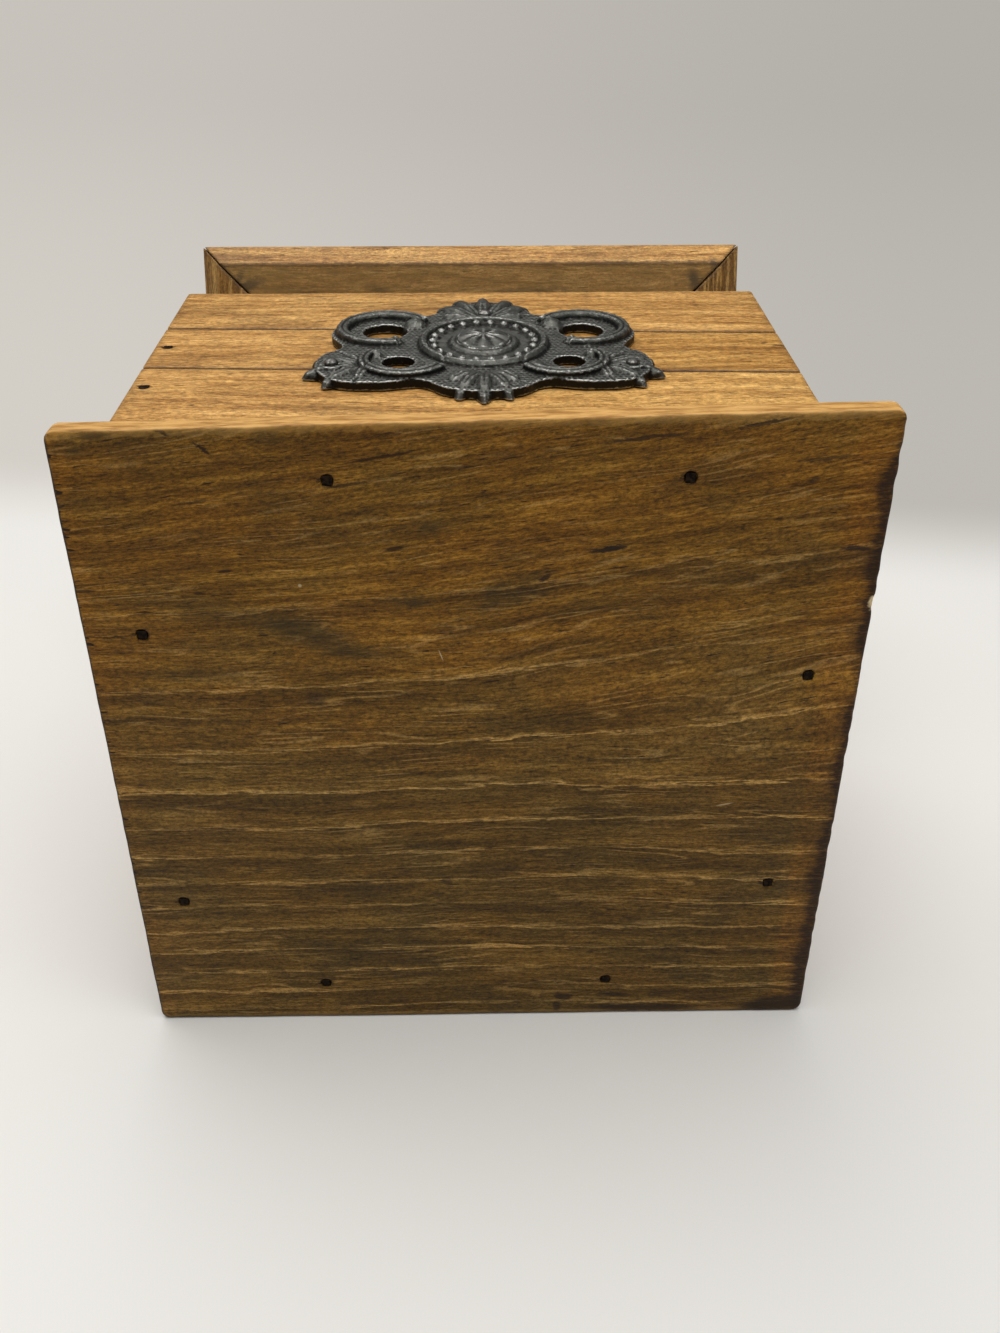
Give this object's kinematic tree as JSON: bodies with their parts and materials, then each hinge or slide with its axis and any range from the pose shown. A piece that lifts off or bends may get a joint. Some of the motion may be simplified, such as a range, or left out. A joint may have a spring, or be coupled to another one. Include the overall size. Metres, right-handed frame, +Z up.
{
  "type": "dome top box",
  "caption": "Small wooden keepsake box with a hinged, round-topped lid, a projecting base board and a cast metal ornament on the front, lying on its back with the lid part open.",
  "frame": {"origin": "on the table, under the middle of the box's extent as it lies", "axes": "+Z is up from the table and out of the box's front wall, +Y is from the base board towards the lid and dome, which is up when the box stands on its base, and +X is to the right as the front is seen"},
  "size_m": [0.152, 0.2004, 0.1515],
  "materials": {
    "base_pine": "worn, stained, satin",
    "front_pine": "stained, satin",
    "wall_pine": "stained, satin",
    "lid_pine": "stained, satin",
    "nail_steel": "dark, dull",
    "dark_cast_metal": "dark, rubbed bright on the relief",
    "aged_brass": "aged"
  },
  "bodies": {
    "box_body": {"base_nail_front_left": "nail_steel", "base_nail_front_right": "nail_steel", "base_nail_back_left": "nail_steel", "base_nail_back_right": "nail_steel", "base_nail_left_front": "nail_steel", "base_nail_left_back": "nail_steel", "base_nail_right_front": "nail_steel", "base_nail_right_back": "nail_steel", "base_board": "base_pine", "front_nail_lower_left": "nail_steel", "front_nail_middle_left": "nail_steel", "left_side_board": "wall_pine", "right_side_board": "wall_pine", "plaque_pin_top": "dark_cast_metal", "plaque_pin_left": "dark_cast_metal", "plaque_pin_right": "dark_cast_metal", "front_slat_lower": "front_pine", "front_slat_middle": "front_pine", "front_slat_upper": "front_pine", "plaque": "dark_cast_metal", "back_slat_lower": "wall_pine", "back_slat_middle": "wall_pine", "back_slat_upper": "wall_pine", "left_hinge_body_leaf": "aged_brass", "left_hinge_pin": "aged_brass", "left_hinge_body_screw_1": "aged_brass", "left_hinge_body_screw_2": "aged_brass", "right_hinge_body_leaf": "aged_brass", "right_hinge_pin": "aged_brass", "right_hinge_body_screw_1": "aged_brass", "right_hinge_body_screw_2": "aged_brass"},
    "lid": {"left_hinge_lid_leaf": "aged_brass", "left_hinge_lid_screw_1": "aged_brass", "left_hinge_lid_screw_2": "aged_brass", "right_hinge_lid_leaf": "aged_brass", "right_hinge_lid_screw_1": "aged_brass", "right_hinge_lid_screw_2": "aged_brass", "lid_front_rail": "lid_pine", "lid_left_rail": "lid_pine", "lid_right_rail": "lid_pine", "lid_back_rail": "lid_pine", "lid_stave_1": "lid_pine", "lid_stave_2": "lid_pine", "lid_stave_3": "lid_pine", "lid_stave_4": "lid_pine", "lid_stave_5": "lid_pine", "lid_stave_6": "lid_pine", "lid_stave_7": "lid_pine", "lid_stave_8": "lid_pine", "lid_stave_9": "lid_pine", "lid_left_end_panel": "lid_pine", "lid_right_end_panel": "lid_pine"}
  },
  "joints": [
    {"name": "lid_hinge", "type": "hinge", "parent": "box_body", "child": "lid", "pos_m": [0, 0.00044, 0.0073], "axis": [-1, 0, 0], "range_deg": [-20.17, 69.83]}
  ]
}
